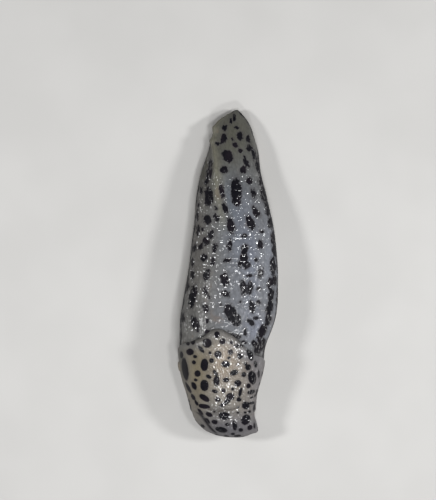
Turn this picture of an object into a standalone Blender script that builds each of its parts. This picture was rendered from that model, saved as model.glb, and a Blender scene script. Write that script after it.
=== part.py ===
"""Leopard slug, drawn in and at rest, as a life-size museum model.

The slug faces -Y with its sole on the floor at Z = 0. Along the body, a place is given as its distance
behind the foremost edge of the mantle. The body is one smooth form whose width, height and lean follow
the curves below; thin cuts part it into head, neck, trunk, tail and foot, and the mantle lies over it.
"""

import bisect
import math

import bmesh
import bpy
from mathutils import Matrix, Vector

MM = 0.001

# Driving sizes, in millimetres
BODY_LENGTH = 90.0
FRONT_ROUNDING = 5.0
TAIL_ROUNDING = 6.0
BACK_ROUNDNESS = 2.2
BELLY_ROUNDNESS = 2.6
CUT_GAP = 0.3
FINE_GAP = 0.12

# Half the width of the body, by distance from the front
HALF_WIDTH = [(0, 8.8), (4, 8.35), (8, 8.7), (12, 9.4), (19, 11.2), (25, 11.8), (34, 13.1), (44, 12.4),
              (54, 11.4), (66, 9.6), (77, 7.2), (84, 5.4), (87, 4.5), (90, 2.0)]
# Where the middle of the body lies to the side, in its resting bend
SIDE_BEND = [(0, 1.6), (3, 0.25), (7, -1.25), (16, -1.75), (23, -1.7), (30, -0.5), (38, 0.7), (50, 1.6),
             (57, 1.6), (66, 1.0), (72, 0.8), (79, 1.5), (86, 1.3), (90, 2.4)]
# Height of the back, and of the level where the body is widest
BACK_HEIGHT = [(0, 9.4), (4, 11.0), (9, 13.0), (16, 14.7), (24, 15.3), (34, 15.0), (46, 14.4), (58, 12.6),
               (68, 10.3), (78, 7.7), (86, 5.4), (90, 4.3)]
WIDEST_HEIGHT = [(0, 6.3), (8, 5.9), (20, 5.6), (36, 5.4), (60, 4.6), (76, 3.6), (86, 2.9), (90, 2.7)]

# The keel, a ridge along the rear of the back, which leans over to the slug's right
KEEL_LEAN = [(0, 0), (10, -2), (29, -8), (57, -12), (66, -19), (72, -23), (77, -35), (81, -50), (90, -60)]
KEEL_HEIGHT = [(0, 0), (50, 0), (60, 0.35), (72, 0.9), (82, 1.1), (88, 0.5), (90, 0.0)]
KEEL_HALF_ANGLE = 15.0

# The foot: a flat sole with a low fringe that shows below the flanks
FOOT_START, FOOT_END = 2.7, 88.0
FOOT_TOP = 1.8
FOOT_SHARE_OF_WIDTH = 0.92
# How square its ends are in plan
FOOT_FRONT_SQUARENESS, FOOT_REAR_SQUARENESS = 7.0, 14.0
FRINGE_BEVEL = 0.4
FOOT_SIDES = 96

# The mantle, a shield over the front third, spread out from a point inside the body
MANTLE_HEART = 15.0
MANTLE_HEART_HEIGHT = 5.6
MANTLE_THICKNESS = 1.3
MANTLE_REAR_TURN = 174.0
MANTLE_SIDES = 60
# How far its margin leans out from straight up, by the turn away from its rear point
MANTLE_MARGIN = [(0, 56.5), (25, 57.5), (40, 63), (50, 75), (58, 87), (74, 95), (105, 96), (150, 90), (180, 89)]
# What that lean gains or loses along the rear, where the margin runs askew: by the turn from the front
MARGIN_SKEW = [(110, 0), (120, -0.5), (128, -2.2), (136, -2.8), (152, -3.0), (158, -2.8), (164, -2.0),
               (170, -0.9), (176, 0.3), (182, 1.5), (188, 1.7), (194, 1.1), (200, 0.3), (208, 0)]
# How far it stands proud of the body, by the turn away from its rear point
MANTLE_LIFT = [(0, 0.9), (40, 0.9), (70, 0.3), (180, 0.2)]
HOOD_FOLD = 7.8
HOOD_FOLD_DROP = 0.35
# A corner of the hood that flares a little at the slug's left front
HOOD_CORNER_TURN, HOOD_CORNER_SPREAD, HOOD_CORNER_FLARE = 36.0, 3.4, 0.85

# The breathing pore in the mantle's right margin
PORE_TURN, PORE_LEAN = 247.0, 83.0
PORE_RADIUS, PORE_LIP = 0.95, 0.34

# Where thin cuts part the body
HEAD_REAR, NECK_REAR, TRUNK_FRONT_REAR, TRUNK_MIDDLE_REAR, TRUNK_REAR_REAR = 8.4, 17.0, 36.0, 54.0, 70.0
FOOT_CUTS = (28.0, 60.0)

# The head, tucked under the hood
HEAD_CENTRE = (-0.4, 6.8, 4.7)
HEAD_RADII = (5.9, 4.8, 3.6)
LIP_RADII = (0.95, 0.6, 0.85)
LIP_SPREAD, LIP_DROP, LIP_SINK = 0.66, 1.65, 0.5
MOUTH_WIDTH, MOUTH_HEIGHT = 0.3, 1.5
TENTACLE_SPREAD, TENTACLE_RISE = 2.3, 0.5
LOWER_TENTACLE_SPREAD, LOWER_TENTACLE_DROP = 2.15, 1.5
EYE_RADIUS = 0.26


def curve_through(points):
    """A smooth curve through (place, value) pairs that never overshoots them."""
    places = [p for p, _ in points]
    values = [v for _, v in points]
    count = len(points)
    slopes = [(values[i + 1] - values[i]) / (places[i + 1] - places[i]) for i in range(count - 1)]
    bends = [0.0 if a * b <= 0 else 2 * a * b / (a + b) for a, b in zip(slopes, slopes[1:])]
    tangents = [slopes[0], *bends, slopes[-1]]

    def value(place):
        place = min(max(place, places[0]), places[-1])
        i = min(bisect.bisect_right(places, place) - 1, count - 2)
        width = places[i + 1] - places[i]
        t = (place - places[i]) / width
        rise = values[i] + (values[i + 1] - values[i]) * t * t * (3 - 2 * t)
        start = tangents[i] * width * t * (1 - t) ** 2
        end = tangents[i + 1] * width * t * t * (t - 1)
        return rise + start + end

    return value


half_width_at = curve_through(HALF_WIDTH)
bend_at = curve_through(SIDE_BEND)
back_at = curve_through(BACK_HEIGHT)
widest_at = curve_through(WIDEST_HEIGHT)
keel_lean_at = curve_through(KEEL_LEAN)
keel_height_at = curve_through(KEEL_HEIGHT)
margin_at = curve_through(MANTLE_MARGIN)
margin_skew_at = curve_through(MARGIN_SKEW)
mantle_lift_at = curve_through(MANTLE_LIFT)


def dome(t):
    """0 at the tip of a rounded end, 1 where the rounding is over."""
    t = min(max(t, 0.0), 1.0)
    return math.sqrt(1 - (1 - t) ** 2)


def smooth_step(low, high, value):
    t = min(max((value - low) / (high - low), 0.0), 1.0)
    return t * t * (3 - 2 * t)


def section(along):
    """Half width, middle, widest level, rise above it and drop below it of the body there."""
    ends = dome(along / FRONT_ROUNDING) * dome((BODY_LENGTH - along) / TAIL_ROUNDING)
    level = widest_at(along)
    rise = (back_at(along) - level) * ends
    return half_width_at(along) * ends, bend_at(along), level, rise, level * ends


def body_point(along, angle):
    """A point of the body's skin: angle 0 is the top, positive towards the slug's left."""
    half, middle, level, rise, drop = section(along)
    roundness = BACK_ROUNDNESS if math.cos(angle) >= 0 else BELLY_ROUNDNESS
    across = math.copysign(abs(math.sin(angle)) ** (2 / roundness), math.sin(angle))
    upward = math.copysign(abs(math.cos(angle)) ** (2 / roundness), math.cos(angle))
    x, z = middle + half * across, level + (rise if upward >= 0 else drop) * upward
    off_keel = (math.degrees(angle) - keel_lean_at(along)) / KEEL_HALF_ANGLE
    ridge = keel_height_at(along) * math.exp(-off_keel * off_keel)
    return Vector((x + ridge * across, along, z + ridge * max(upward, 0.0)))


def outside(point):
    """Negative inside the body's plain form, without its keel, and positive outside."""
    x, along, z = point
    if not 0 < along < BODY_LENGTH:
        return 1.0
    half, middle, level, rise, drop = section(along)
    above = z >= level
    roundness = BACK_ROUNDNESS if above else BELLY_ROUNDNESS
    across = abs(x - middle) / half
    upward = abs(z - level) / (rise if above else drop)
    return across ** roundness + upward ** roundness - 1


def skin_hit(turn, lean):
    """Where a ray from the mantle's heart leaves the body, and the outward normal there."""
    start = Vector((bend_at(MANTLE_HEART), MANTLE_HEART, MANTLE_HEART_HEIGHT))
    level = math.sin(math.radians(lean))
    ray = Vector((level * math.sin(math.radians(turn)), -level * math.cos(math.radians(turn)),
                  math.cos(math.radians(lean))))
    near, far = 0.0, 40.0
    for _ in range(40):
        middle = (near + far) / 2
        near, far = (middle, far) if outside(start + ray * middle) < 0 else (near, middle)
    hit = start + ray * near
    probe = 0.02
    normal = Vector([outside(hit + axis * probe) - outside(hit - axis * probe)
                     for axis in (Vector((1, 0, 0)), Vector((0, 1, 0)), Vector((0, 0, 1)))])
    return hit, normal.normalized()


def turn_from_rear(turn):
    return abs((turn - MANTLE_REAR_TURN + 180) % 360 - 180)


def margin_lean(turn):
    return margin_at(turn_from_rear(turn)) + margin_skew_at(turn)


def mantle_point(turn, share, lift):
    """A point over or under the mantle: share 0 is its crown and 1 its margin."""
    hit, normal = skin_hit(turn, share * margin_lean(turn))
    proud = mantle_lift_at(turn_from_rear(turn)) * smooth_step(0.2, 0.9, share)
    proud -= HOOD_FOLD_DROP * (1 - smooth_step(HOOD_FOLD - 0.9, HOOD_FOLD + 0.3, hit.y))
    corner = (turn - HOOD_CORNER_TURN) / HOOD_CORNER_SPREAD
    proud += HOOD_CORNER_FLARE * math.exp(-corner * corner) * smooth_step(0.75, 1.0, share)
    return hit + normal * (proud + lift)


def to_world(point):
    """From millimetres behind the front edge to metres about the middle of the body."""
    return Vector((point.x, point.y - BODY_LENGTH / 2, point.z)) * MM


def new_object(name, mesh_maker, collection):
    """An object whose mesh is made by a function that fills a bmesh."""
    mesh = bpy.data.meshes.new(name)
    bm = bmesh.new()
    mesh_maker(bm)
    bmesh.ops.recalc_face_normals(bm, faces=bm.faces)
    bm.to_mesh(mesh)
    bm.free()
    obj = bpy.data.objects.new(name, mesh)
    collection.objects.link(obj)
    return obj


def body_form(rings, sides):
    """The whole body, from a sphere whose poles become the front and the tip of the tail."""

    def make(bm):
        bmesh.ops.create_uvsphere(bm, u_segments=sides, v_segments=rings, radius=1)
        for vertex in bm.verts:
            x, y, z = vertex.co
            latitude = math.acos(max(-1.0, min(1.0, z))) / math.pi
            eased = latitude - math.sin(2 * math.pi * latitude) / (4 * math.pi)
            vertex.co = to_world(body_point(BODY_LENGTH * eased, math.atan2(x, y)))

    return make


def mantle_form(rings, sides, thickness, above, reach, rim_start):
    """The mantle, from a sphere whose upper half becomes its top and lower half its underside."""

    def make(bm):
        bmesh.ops.create_uvsphere(bm, u_segments=sides, v_segments=rings, radius=1)
        for vertex in bm.verts:
            x, y, z = vertex.co
            latitude = math.degrees(math.acos(max(-1.0, min(1.0, z))))
            from_pole = min(latitude, 180 - latitude) / 90
            share = 1 - (1 - from_pole) ** 1.5
            edge = math.sqrt(max(0.0, 1 - smooth_step(rim_start, 1.0, share) ** 2))
            middle = (above - thickness) / 2
            half = (above + thickness) / 2 * edge
            lift = middle + (half if z >= 0 else -half)
            turn = math.degrees(math.atan2(x, -y)) % 360
            vertex.co = to_world(mantle_point(turn, share * reach, lift))

    return make


def foot_form(bm):
    """The flat foot: a ring in plan, raised to the foot's thickness, its upper edge rounded."""
    bmesh.ops.create_circle(bm, cap_ends=True, segments=FOOT_SIDES, radius=1)
    half_length = (FOOT_END - FOOT_START) / 2
    for vertex in bm.verts:
        x, y, _ = vertex.co
        along = FOOT_START + half_length * (1 + math.copysign(abs(y) ** 0.9, y))
        half, middle, _, _, _ = section(along)
        squareness = FOOT_FRONT_SQUARENESS if y < 0 else FOOT_REAR_SQUARENESS
        round_off = math.sqrt(max(0.0, 1 - abs(y) ** squareness))
        across = math.copysign(half * FOOT_SHARE_OF_WIDTH, x) * round_off
        vertex.co = to_world(Vector((middle + across, along, 0)))
        if abs(x) < 1e-6:
            vertex.co.x = middle * MM
    base = bm.faces[:]
    raised = bmesh.ops.extrude_face_region(bm, geom=base)
    top = [part for part in raised["geom"] if isinstance(part, bmesh.types.BMVert)]
    bmesh.ops.translate(bm, verts=top, vec=(0, 0, FOOT_TOP * MM))
    rim = [edge for edge in bm.edges if all(v in top for v in edge.verts)]
    bmesh.ops.bevel(bm, geom=rim, offset=FRINGE_BEVEL * MM, segments=2, profile=0.5, affect="EDGES",
                    material=-1)


def blob_form(centre, radii, sides=16, rings=10):
    """A rounded lump of flesh."""

    def make(bm):
        bmesh.ops.create_uvsphere(bm, u_segments=sides, v_segments=rings, radius=1)
        bmesh.ops.scale(bm, vec=Vector(radii) * MM, verts=bm.verts)
        bmesh.ops.translate(bm, vec=to_world(Vector(centre)), verts=bm.verts)

    return make


def block_form(low, high):
    """A plain box between two corners, used only to cut with."""

    def make(bm):
        bmesh.ops.create_cube(bm, size=1)
        size = Vector(high) - Vector(low)
        bmesh.ops.scale(bm, vec=size * MM, verts=bm.verts)
        bmesh.ops.translate(bm, vec=to_world((Vector(high) + Vector(low)) / 2), verts=bm.verts)

    return make


def stalk_form(base, direction, length, root_radius, tip_radius, sides=14):
    """A drawn-in tentacle: a short stalk in two soft rings, with a rounded tip."""

    def make(bm):
        profile = [(-1.2, 1.0), (0.0, 1.0), (0.22, 0.90), (0.42, 0.95), (0.62, 0.84), (0.8, 0.86), (0.93, 0.66)]
        bottom = bmesh.ops.create_circle(bm, cap_ends=True, segments=sides, radius=root_radius * MM)
        edges = list({edge for vertex in bottom["verts"] for edge in vertex.link_edges})
        bmesh.ops.translate(bm, vec=(0, 0, profile[0][0] * MM), verts=bottom["verts"])
        for place, share in profile[1:]:
            grown = bmesh.ops.extrude_edge_only(bm, edges=edges)
            ring = [part for part in grown["geom"] if isinstance(part, bmesh.types.BMVert)]
            edges = [part for part in grown["geom"] if isinstance(part, bmesh.types.BMEdge)]
            radius = share * (root_radius + (tip_radius - root_radius) * max(place, 0.0))
            for vertex in ring:
                flat = Vector((vertex.co.x, vertex.co.y, 0)).normalized()
                vertex.co = (flat * radius + Vector((0, 0, place * length))) * MM
        bmesh.ops.edgeloop_fill(bm, edges=edges)
        tilt = Vector(direction).to_track_quat("Z", "Y").to_matrix().to_4x4()
        bmesh.ops.transform(bm, matrix=Matrix.Translation(to_world(Vector(base))) @ tilt, verts=bm.verts)

    return make


def combine(target, others, operation):
    """Joins or cuts the target with every object given, then keeps its largest closed surface."""
    group = bpy.data.collections.new(target.name + "_with")
    bpy.context.scene.collection.children.link(group)
    for other in others:
        for old in other.users_collection:
            old.objects.unlink(other)
        group.objects.link(other)
    modifier = target.modifiers.new(operation.lower(), "BOOLEAN")
    modifier.operand_type = "COLLECTION"
    modifier.collection = group
    modifier.operation = operation
    modifier.solver = "EXACT"
    bake(target)
    for other in others:
        bpy.data.objects.remove(other)
    bpy.data.collections.remove(group)


def bake(obj):
    """Applies the object's modifiers and keeps the largest closed surface that they leave."""
    bpy.context.view_layer.update()
    evaluated = obj.evaluated_get(bpy.context.evaluated_depsgraph_get())
    mesh = bpy.data.meshes.new_from_object(evaluated)
    obj.modifiers.clear()
    obj.data = mesh
    bm = bmesh.new()
    bm.from_mesh(mesh)
    bmesh.ops.remove_doubles(bm, verts=bm.verts, dist=0.000002)
    bmesh.ops.dissolve_degenerate(bm, edges=bm.edges, dist=0.000002)
    islands = closed_surfaces(bm)
    largest = max(islands, key=lambda faces: sum(face.calc_area() for face in faces))
    loose = [face for faces in islands if faces is not largest for face in faces]
    bmesh.ops.delete(bm, geom=loose, context="FACES")
    bmesh.ops.triangulate(bm, faces=[face for face in bm.faces if len(face.verts) > 4])
    bm.to_mesh(mesh)
    bm.free()


def closed_surfaces(bm):
    """The mesh's faces, grouped by the surface that they belong to."""
    waiting = set(bm.faces)
    islands = []
    while waiting:
        reached = [waiting.pop()]
        island = []
        while reached:
            face = reached.pop()
            island.append(face)
            for edge in face.edges:
                for neighbour in edge.link_faces:
                    if neighbour in waiting:
                        waiting.remove(neighbour)
                        reached.append(neighbour)
        islands.append(island)
    return islands


def flesh(name, colour, roughness):
    """A moist skin."""
    material = bpy.data.materials.new(name)
    material.use_nodes = True
    shader = material.node_tree.nodes["Principled BSDF"]
    shader.inputs["Base Color"].default_value = (*colour, 1)
    shader.inputs["Roughness"].default_value = roughness
    shader.inputs["Metallic"].default_value = 0
    return material


def finish(obj, material):
    obj.data.materials.clear()
    obj.data.materials.append(material)
    obj.data.shade_smooth()
    obj.data.set_sharp_from_angle(angle=math.radians(50))


def make_trunk(collection, cutters, material):
    """Neck, three lengths of trunk, and the tail: one form, carved for the mantle and cut across."""
    stops = [HEAD_REAR, NECK_REAR, TRUNK_FRONT_REAR, TRUNK_MIDDLE_REAR, TRUNK_REAR_REAR, BODY_LENGTH + 5]
    names = ["neck", "trunk_front", "trunk_middle", "trunk_rear", "tail"]
    for name, start, stop in zip(names, stops, stops[1:]):
        piece = new_object(name, body_form(72, 40), collection)
        if start < TRUNK_FRONT_REAR:
            room = mantle_form(30, MANTLE_SIDES, MANTLE_THICKNESS + CUT_GAP, 3.0, 1.035, 0.985)
            combine(piece, [new_object(name + "_room", room, cutters)], "DIFFERENCE")
        length = block_form((-30, start + CUT_GAP, FOOT_TOP + CUT_GAP), (30, stop, 30))
        combine(piece, [new_object(name + "_length", length, cutters)], "INTERSECT")
        finish(piece, material)


def make_mantle(collection, cutters, material):
    """The shield, with the lip of the breathing pore raised on its right flank and the pore sunk in it."""
    shield = mantle_form(30, MANTLE_SIDES, MANTLE_THICKNESS, 0.0, 1.0, 0.93)
    mantle = new_object("mantle", shield, collection)
    share = PORE_LEAN / margin_lean(PORE_TURN)
    centre = mantle_point(PORE_TURN, share, 0)
    normal = skin_hit(PORE_TURN, PORE_LEAN)[1]

    def ring(bm):
        bmesh.ops.create_circle(bm, segments=12, radius=PORE_LIP * MM)
        bmesh.ops.rotate(bm, cent=(0, 0, 0), matrix=Matrix.Rotation(math.pi / 2, 3, "X"), verts=bm.verts)
        bmesh.ops.translate(bm, vec=(PORE_RADIUS * MM, 0, 0), verts=bm.verts)
        bmesh.ops.spin(bm, geom=bm.verts[:] + bm.edges[:], cent=(0, 0, 0), axis=(0, 0, 1),
                       angle=math.tau, steps=18, use_merge=True)
        bmesh.ops.remove_doubles(bm, verts=bm.verts, dist=0.000005)
        aim = normal.to_track_quat("Z", "Y").to_matrix().to_4x4()
        bmesh.ops.transform(bm, matrix=Matrix.Translation(to_world(centre)) @ aim, verts=bm.verts)

    combine(mantle, [new_object("pore_lip", ring, cutters)], "UNION")
    pit = blob_form(centre, (PORE_RADIUS * 0.62,) * 3, 14, 8)
    combine(mantle, [new_object("pore_pit", pit, cutters)], "DIFFERENCE")
    finish(mantle, material)


def make_head(collection, cutters, materials):
    """The head, with its lips and mouth, two pairs of drawn-in tentacles, and the eyes on the upper pair."""
    x, along, z = HEAD_CENTRE

    def skull(name, grow, place):
        radii = [radius + grow for radius in HEAD_RADII]
        return new_object(name, blob_form(HEAD_CENTRE, radii, 32, 20), place)

    nose = along - HEAD_RADII[1]
    head = skull("head", 0, collection)
    lips = []
    for side in (-1, 1):
        centre = (x + side * LIP_SPREAD, nose + LIP_SINK, z - LIP_DROP)
        lips.append(new_object("lip", blob_form(centre, LIP_RADII), cutters))
    combine(head, lips, "UNION")
    slit = blob_form((x, nose, z - LIP_DROP), (MOUTH_WIDTH / 2, 0.6, MOUTH_HEIGHT / 2), 12, 8)
    combine(head, [new_object("mouth_slit", slit, cutters)], "DIFFERENCE")
    room = block_form((-30, -5, FOOT_TOP + CUT_GAP), (30, HEAD_REAR, 30))
    combine(head, [new_object("head_length", room, cutters)], "INTERSECT")
    finish(head, materials["head"])
    for side, word in ((1, "left"), (-1, "right")):
        base = (x + side * TENTACLE_SPREAD, nose + 0.9, z + TENTACLE_RISE)
        aim = Vector((side * 0.22, -1, 0.06)).normalized()
        stalk = new_object("upper_tentacle_" + word, stalk_form(base, aim, 1.9, 0.8, 0.68), collection)
        tip = Vector(base) + aim * 1.80 + Vector((side * 0.1, 0, 0.12))
        socket = blob_form(tip, (EYE_RADIUS + FINE_GAP,) * 3)
        combine(stalk, [skull("head_room", FINE_GAP, cutters), new_object("socket", socket, cutters)], "DIFFERENCE")
        finish(stalk, materials["head"])
        eye = new_object("eye_" + word, blob_form(tip, (EYE_RADIUS,) * 3, 14, 8), collection)
        finish(eye, materials["eye"])
        low_base = (x + side * LOWER_TENTACLE_SPREAD, nose + 1.1, z - LOWER_TENTACLE_DROP)
        low_aim = Vector((side * 0.35, -1, -0.12)).normalized()
        nub = new_object("lower_tentacle_" + word, stalk_form(low_base, low_aim, 1.3, 0.46, 0.38), collection)
        lip_room = blob_form((x + side * LIP_SPREAD, nose + LIP_SINK, z - LIP_DROP),
                             [radius + FINE_GAP for radius in LIP_RADII])
        combine(nub, [skull("head_room", FINE_GAP, cutters), new_object("lip_room", lip_room, cutters)],
                "DIFFERENCE")
        finish(nub, materials["head"])


def make_foot(collection, cutters, material):
    stops = [0.0, *FOOT_CUTS, BODY_LENGTH + 5]
    for name, start, stop in zip(("foot_front", "foot_middle", "foot_rear"), stops, stops[1:]):
        piece = new_object(name, foot_form, collection)
        length = block_form((-30, start + CUT_GAP, -5), (30, stop, 30))
        combine(piece, [new_object(name + "_length", length, cutters)], "INTERSECT")
        finish(piece, material)


def centre_on_floor(objects):
    """Moves the meshes so that the middle of their box stands over the origin, and prints the move."""
    corners = [vertex.co for obj in objects for vertex in obj.data.vertices]
    low = Vector([min(corner[axis] for corner in corners) for axis in range(3)])
    high = Vector([max(corner[axis] for corner in corners) for axis in range(3)])
    move = Vector((-(low.x + high.x) / 2, -(low.y + high.y) / 2, -low.z))
    for obj in objects:
        obj.data.transform(Matrix.Translation(move))
    print("size", [round(side / MM, 3) for side in high - low], "moved by", [round(m / MM, 4) for m in move])


def main():
    for obj in list(bpy.data.objects):
        bpy.data.objects.remove(obj)
    slug = bpy.data.collections.new("leopard_slug")
    cutters = bpy.data.collections.new("cutters")
    for collection in (slug, cutters):
        bpy.context.scene.collection.children.link(collection)
    materials = {
        "back": flesh("back_skin", (0.27, 0.25, 0.21), 0.3),
        "mantle": flesh("mantle_skin", (0.34, 0.29, 0.21), 0.28),
        "head": flesh("head_skin", (0.30, 0.25, 0.20), 0.32),
        "foot": flesh("sole_skin", (0.52, 0.48, 0.40), 0.35),
        "eye": flesh("eye_black", (0.012, 0.011, 0.012), 0.12),
    }
    make_trunk(slug, cutters, materials["back"])
    make_mantle(slug, cutters, materials["mantle"])
    make_head(slug, cutters, materials)
    make_foot(slug, cutters, materials["foot"])
    centre_on_floor(list(slug.objects))


main()
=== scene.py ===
import math

import bmesh
import bpy
import numpy as np
from mathutils import Matrix, Vector
from mathutils.kdtree import KDTree


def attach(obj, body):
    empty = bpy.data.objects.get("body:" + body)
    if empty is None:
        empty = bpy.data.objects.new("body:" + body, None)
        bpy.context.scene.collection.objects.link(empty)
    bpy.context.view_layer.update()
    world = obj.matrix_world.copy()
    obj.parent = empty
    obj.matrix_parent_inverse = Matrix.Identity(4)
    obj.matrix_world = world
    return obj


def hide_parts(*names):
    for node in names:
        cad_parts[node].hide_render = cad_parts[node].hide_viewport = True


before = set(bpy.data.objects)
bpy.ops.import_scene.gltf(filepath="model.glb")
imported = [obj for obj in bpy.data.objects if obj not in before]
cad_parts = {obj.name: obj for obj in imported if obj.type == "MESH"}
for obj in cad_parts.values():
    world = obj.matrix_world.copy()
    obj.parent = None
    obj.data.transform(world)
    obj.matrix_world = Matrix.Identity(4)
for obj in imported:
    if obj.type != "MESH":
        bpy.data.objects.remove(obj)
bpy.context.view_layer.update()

# Lengths in the values below are millimetres, and "along" is the distance behind the mantle's front edge.
mm = 0.001

# small helpers for smooth shapes

def curveThrough(points):  # a smooth curve through (place, value) pairs that never overshoots them
    places, values = np.array(points, float).T
    width = np.diff(places)
    slope = np.diff(values) / width
    before, after = slope[:-1], slope[1:]
    sameWay = before * after > 0
    inner = np.where(sameWay, 2 * before * after / np.where(sameWay, before + after, 1), 0)
    tangent = np.concatenate([slope[:1], inner, slope[-1:]])

    def value(place):
        place = np.clip(place, places[0], places[-1])
        i = np.clip(np.searchsorted(places, place, side="right") - 1, 0, len(width) - 1)
        t = (place - places[i]) / width[i]
        rise = values[i] + (values[i + 1] - values[i]) * t * t * (3 - 2 * t)
        return rise + tangent[i] * width[i] * t * (1 - t) ** 2 + tangent[i + 1] * width[i] * t * t * (t - 1)

    return value


def smoothStep(low, high, value):
    t = np.clip((value - low) / (high - low), 0, 1)
    return t * t * (3 - 2 * t)


def dome(t):  # 0 at the tip of a rounded end, 1 where the rounding is over
    return np.sqrt(1 - (1 - np.clip(t, 0, 1)) ** 2)


def bell(value, width):
    return np.exp(-(value / width) ** 2)


def scatter(column, row, seed):  # an even spread of values from 0 to 1, the same on every run
    mixed = np.sin(column * 127.1 + row * 311.7 + seed * 74.7) * 43758.5453
    return mixed - np.floor(mixed)


def softNoise(u, v, seed):  # slow waves between 0 and 1 over cells of size 1
    column, row = np.floor(u), np.floor(v)
    a, b = u - column, v - row
    a, b = a * a * (3 - 2 * a), b * b * (3 - 2 * b)
    low = scatter(column, row, seed) * (1 - a) + scatter(column + 1, row, seed) * a
    high = scatter(column, row + 1, seed) * (1 - a) + scatter(column + 1, row + 1, seed) * a
    return low * (1 - b) + high * b


def pebbles(u, v, seed, gap=0.4, gapWidth=0.5, crown=2.0):  # stones strewn one to a cell: 0 between them, 1 on top
    column, row = np.floor(u), np.floor(v)
    near, second = np.full(u.shape, 9.0), np.full(u.shape, 9.0)
    for stepU in (-1, 0, 1):
        for stepV in (-1, 0, 1):
            c, r = column + stepU, row + stepV
            pu = c + 0.5 + 0.62 * (scatter(c, r, seed) - 0.5)
            pv = r + 0.5 + 0.62 * (scatter(c, r, seed + 5) - 0.5) + 0.5 * (c % 2) - 0.25
            distance = np.hypot(u - pu, v - pv)
            second = np.minimum(second, np.maximum(near, distance))
            near = np.minimum(near, distance)
    return gap * smoothStep(0.0, gapWidth, second - near) + (1 - gap) * np.clip(1 - near ** 2 * crown, 0, 1)


def layered(tone, layers):  # colours laid one over the other, each with its share at every point
    for colour, share in layers:
        tone = tone + (np.array(colour) - tone) * share[:, None]
    return tone


# the form of the body, as in the solids

bodyForm = dict(
    length=90.0, frontRounding=5.0, tailRounding=6.0, backRoundness=2.2, bellyRoundness=2.6,
    shift=(0.0154, -0.1186, 0.0),
    halfWidth=[(0, 8.8), (4, 8.35), (8, 8.7), (12, 9.4), (19, 11.2), (25, 11.8), (34, 13.1), (44, 12.4),
               (54, 11.4), (66, 9.6), (77, 7.2), (84, 5.4), (87, 4.5), (90, 2.0)],
    sideBend=[(0, 1.6), (3, 0.25), (7, -1.25), (16, -1.75), (23, -1.7), (30, -0.5), (38, 0.7), (50, 1.6),
              (57, 1.6), (66, 1.0), (72, 0.8), (79, 1.5), (86, 1.3), (90, 2.4)],
    backHeight=[(0, 9.4), (4, 11.0), (9, 13.0), (16, 14.7), (24, 15.3), (34, 15.0), (46, 14.4), (58, 12.6),
                (68, 10.3), (78, 7.7), (86, 5.4), (90, 4.3)],
    widestHeight=[(0, 6.3), (8, 5.9), (20, 5.6), (36, 5.4), (60, 4.6), (76, 3.6), (86, 2.9), (90, 2.7)],
    keelLean=[(0, 0), (10, -2), (29, -8), (57, -12), (66, -19), (72, -23), (77, -35), (81, -50), (90, -60)],
    keelHeight=[(0, 0), (50, 0), (60, 0.35), (72, 0.9), (82, 1.1), (88, 0.5), (90, 0.0)],
    keelHalfAngle=15.0,
)
halfWidthAt, sideBendAt, backHeightAt, widestHeightAt, keelLeanAt, keelHeightAt = [
    curveThrough(bodyForm[name])
    for name in ("halfWidth", "sideBend", "backHeight", "widestHeight", "keelLean", "keelHeight")]


def sectionAt(along):  # half width, middle, widest level, rise above it and drop below it
    ends = dome(along / bodyForm["frontRounding"]) * dome((bodyForm["length"] - along) / bodyForm["tailRounding"])
    level = widestHeightAt(along)
    return halfWidthAt(along) * ends, sideBendAt(along), level, (backHeightAt(along) - level) * ends, level * ends


def outsideBody(point):  # negative inside the plain form, positive outside it
    x, along, z = point[:, 0], point[:, 1], point[:, 2]
    inside = (along > 0) & (along < bodyForm["length"])
    half, middle, level, rise, drop = sectionAt(np.clip(along, 0.01, bodyForm["length"] - 0.01))
    above = z >= level
    roundness = np.where(above, bodyForm["backRoundness"], bodyForm["bellyRoundness"])
    across = np.abs(x - middle) / half
    upward = np.abs(z - level) / np.where(above, rise, drop)
    return np.where(inside, across ** roundness + upward ** roundness - 1, 1.0)


# the form of the mantle

mantleForm = dict(
    heart=15.0, heartHeight=5.6, thickness=1.3, rearTurn=174.0,
    margin=[(0, 56.5), (25, 57.5), (40, 63), (50, 75), (58, 87), (74, 95), (105, 96), (150, 90), (180, 89)],
    skew=[(110, 0), (120, -0.5), (128, -2.2), (136, -2.8), (152, -3.0), (158, -2.8), (164, -2.0), (170, -0.9),
          (176, 0.3), (182, 1.5), (188, 1.7), (194, 1.1), (200, 0.3), (208, 0)],
    lift=[(0, 0.9), (40, 0.9), (70, 0.3), (180, 0.2)],
    fold=7.8, foldDrop=0.35, cornerTurn=36.0, cornerSpread=3.4, cornerFlare=0.85,
    poreTurn=247.0, poreLean=83.0, poreRadius=0.95, poreLip=0.34, poreDepth=1.0,
)
marginAt, skewAt, liftAt = [curveThrough(mantleForm[name]) for name in ("margin", "skew", "lift")]
heart = np.array([float(sideBendAt(mantleForm["heart"])), mantleForm["heart"], mantleForm["heartHeight"]])


def turnFromRear(turn):
    return np.abs((turn - mantleForm["rearTurn"] + 180) % 360 - 180)


def marginLean(turn):
    return marginAt(turnFromRear(turn)) + skewAt(turn)


def skinHit(turn, lean):  # where rays from the mantle's heart leave the body, and the normals there
    level = np.sin(np.radians(lean))
    ray = np.stack([level * np.sin(np.radians(turn)), -level * np.cos(np.radians(turn)), np.cos(np.radians(lean))], 1)
    near, far = np.zeros(len(ray)), np.full(len(ray), 40.0)
    for _ in range(30):
        middle = (near + far) / 2
        inside = outsideBody(heart + ray * middle[:, None]) < 0
        near, far = np.where(inside, middle, near), np.where(inside, far, middle)
    hit = heart + ray * near[:, None]
    normal = np.stack([outsideBody(hit + step) - outsideBody(hit - step) for step in np.eye(3) * 0.02], 1)
    return hit, normal / np.linalg.norm(normal, axis=1)[:, None]


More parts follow.
